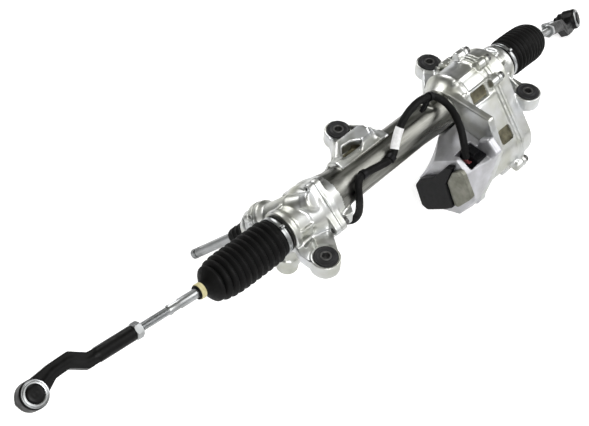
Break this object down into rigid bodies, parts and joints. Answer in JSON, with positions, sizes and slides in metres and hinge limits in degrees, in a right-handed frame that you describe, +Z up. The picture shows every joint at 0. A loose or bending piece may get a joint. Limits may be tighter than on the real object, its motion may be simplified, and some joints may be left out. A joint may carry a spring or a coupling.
{
  "type": "steering rack",
  "caption": "Electric power steering rack with a belt-driven ball nut, a pinion input, rubber boots and two tie rods, held on four rubber mounts.",
  "frame": {"origin": "midway between the two front mounting holes, at the top faces of their sleeves", "axes": "+X along the rack towards the motor's end, +Z up along the mounting bolts, +Y from the front holes to the rear holes"},
  "size_m": [1.4266, 0.3054, 0.2753],
  "materials": {
    "cast_aluminium": "die cast, satin",
    "grey_casting": "satin grey casting",
    "steel": "turned and plated",
    "black_forging": "satin black coating",
    "boot_rubber": "satin moulded rubber",
    "black_plastic": "moulded",
    "white_sleeve": "matt sleeve",
    "green_board": "board",
    "red_wire": "insulated wire",
    "copper": "wound copper and iron"
  },
  "bodies": {
    "housing": {"pinion_housing": "cast_aluminium", "rack_housing": "cast_aluminium", "end_housing": "cast_aluminium", "tube_bolts": "steel", "cover_bolts": "steel", "sensor_housing": "cast_aluminium", "sensor_coil": "copper", "sensor_screws": "steel", "sensor_connector": "black_plastic", "input_dust_seal": "boot_rubber", "pinion_bearings": "steel", "rack_yoke": "steel", "yoke_spring": "steel", "yoke_plug": "steel", "nut_bearing": "steel", "drive_belt": "boot_rubber", "motor_housing": "grey_casting", "motor_stator": "copper", "motor_bearings": "steel", "motor_bolts": "steel", "connector_cap": "black_plastic", "control_board": "green_board", "ecu_cover": "grey_casting", "signal_plug": "black_plastic", "plug_wires": "red_wire", "harness_cable": "black_plastic", "harness_sleeve": "white_sleeve", "harness_clips": "black_plastic", "mount_bushes": "boot_rubber", "mount_sleeves": "steel", "boot_left": "boot_rubber", "boot_right": "boot_rubber", "large_clamp_left": "steel", "large_clamp_right": "steel"},
    "rack": {"rack_bar": "steel", "inner_socket_left": "steel", "inner_socket_right": "steel"},
    "pinion": {"pinion_shaft": "steel", "torsion_bar": "steel", "input_shaft": "steel"},
    "nut": {"ball_nut": "steel", "nut_pulley": "steel"},
    "rotor": {"motor_rotor": "steel", "motor_pulley": "steel"},
    "left_rod": {"tie_rod_left": "steel", "jam_nut_left": "steel", "rod_end_left": "black_forging", "end_cap_left": "black_forging", "small_clamp_left": "steel"},
    "left_boot": {"stud_boot_left": "boot_rubber"},
    "left_stud": {"ball_stud_left": "steel"},
    "right_rod": {"tie_rod_right": "steel", "jam_nut_right": "steel", "rod_end_right": "black_forging", "end_cap_right": "black_forging", "small_clamp_right": "steel"},
    "right_boot": {"stud_boot_right": "boot_rubber"},
    "right_stud": {"ball_stud_right": "steel"}
  },
  "joints": [
    {"name": "rotor_spin", "type": "hinge", "parent": "housing", "child": "rotor", "pos_m": [0.1, 0.006, -0.084], "axis": [-1, 0, 0], "range_deg": [-8518.1, 12426.67]},
    {"name": "nut_spin", "type": "hinge", "parent": "housing", "child": "nut", "pos_m": [0.186, 0.078, 0], "axis": [-1, 0, 0], "range_deg": [-3138.14, 4578.14]},
    {"name": "rack_slide", "type": "slide", "parent": "housing", "child": "rack", "axis": [1, 0, 0], "range_m": [-0.061, 0.089], "deforming": ["boot_left", "boot_right"]},
    {"name": "pinion_spin", "type": "hinge", "parent": "housing", "child": "pinion", "pos_m": [-0.234, 0.09089, 0.01109], "axis": [-0.342, 0.6128, -0.7124], "range_deg": [-599.97, 411.53]},
    {"name": "left_swing", "type": "hinge", "parent": "rack", "child": "left_rod", "pos_m": [-0.374, 0.078, 0], "axis": [0, 1, 0], "range_deg": [-38, 21], "deforming": ["boot_left"]},
    {"name": "right_swing", "type": "hinge", "parent": "rack", "child": "right_rod", "pos_m": [0.346, 0.078, 0], "axis": [0, -0.9247, -0.3808], "range_deg": [-1, 59], "deforming": ["boot_right"]},
    {"name": "left_stud_tilt", "type": "hinge", "parent": "left_rod", "child": "left_boot", "pos_m": [-0.7252, 0.08536, 0.05125], "axis": [-0.0962, -0.8368, -0.5389], "range_deg": [-20, 20], "deforming": ["stud_boot_left"]},
    {"name": "left_stud_spin", "type": "hinge", "parent": "left_boot", "child": "left_stud", "pos_m": [-0.7252, 0.08536, 0.05125], "axis": [0.1096, -0.5471, 0.8299], "continuous": true},
    {"name": "right_stud_tilt", "type": "hinge", "parent": "right_rod", "child": "right_boot", "pos_m": [0.6566, 0.14345, -0.15895], "axis": [0.2406, 0.6369, 0.7324], "range_deg": [-20, 20], "deforming": ["stud_boot_right"]},
    {"name": "right_stud_spin", "type": "hinge", "parent": "right_boot", "child": "right_stud", "pos_m": [0.6566, 0.14345, -0.15895], "axis": [0.4202, -0.7486, 0.5129], "continuous": true}
  ],
  "couplings": [
    {"joint": "nut_spin", "follows": "rack_slide", "rad_per_m": 897.6},
    {"joint": "rotor_spin", "follows": "rack_slide", "rad_per_m": 2436.3},
    {"joint": "pinion_spin", "follows": "rack_slide", "rad_per_m": -117.46}
  ]
}
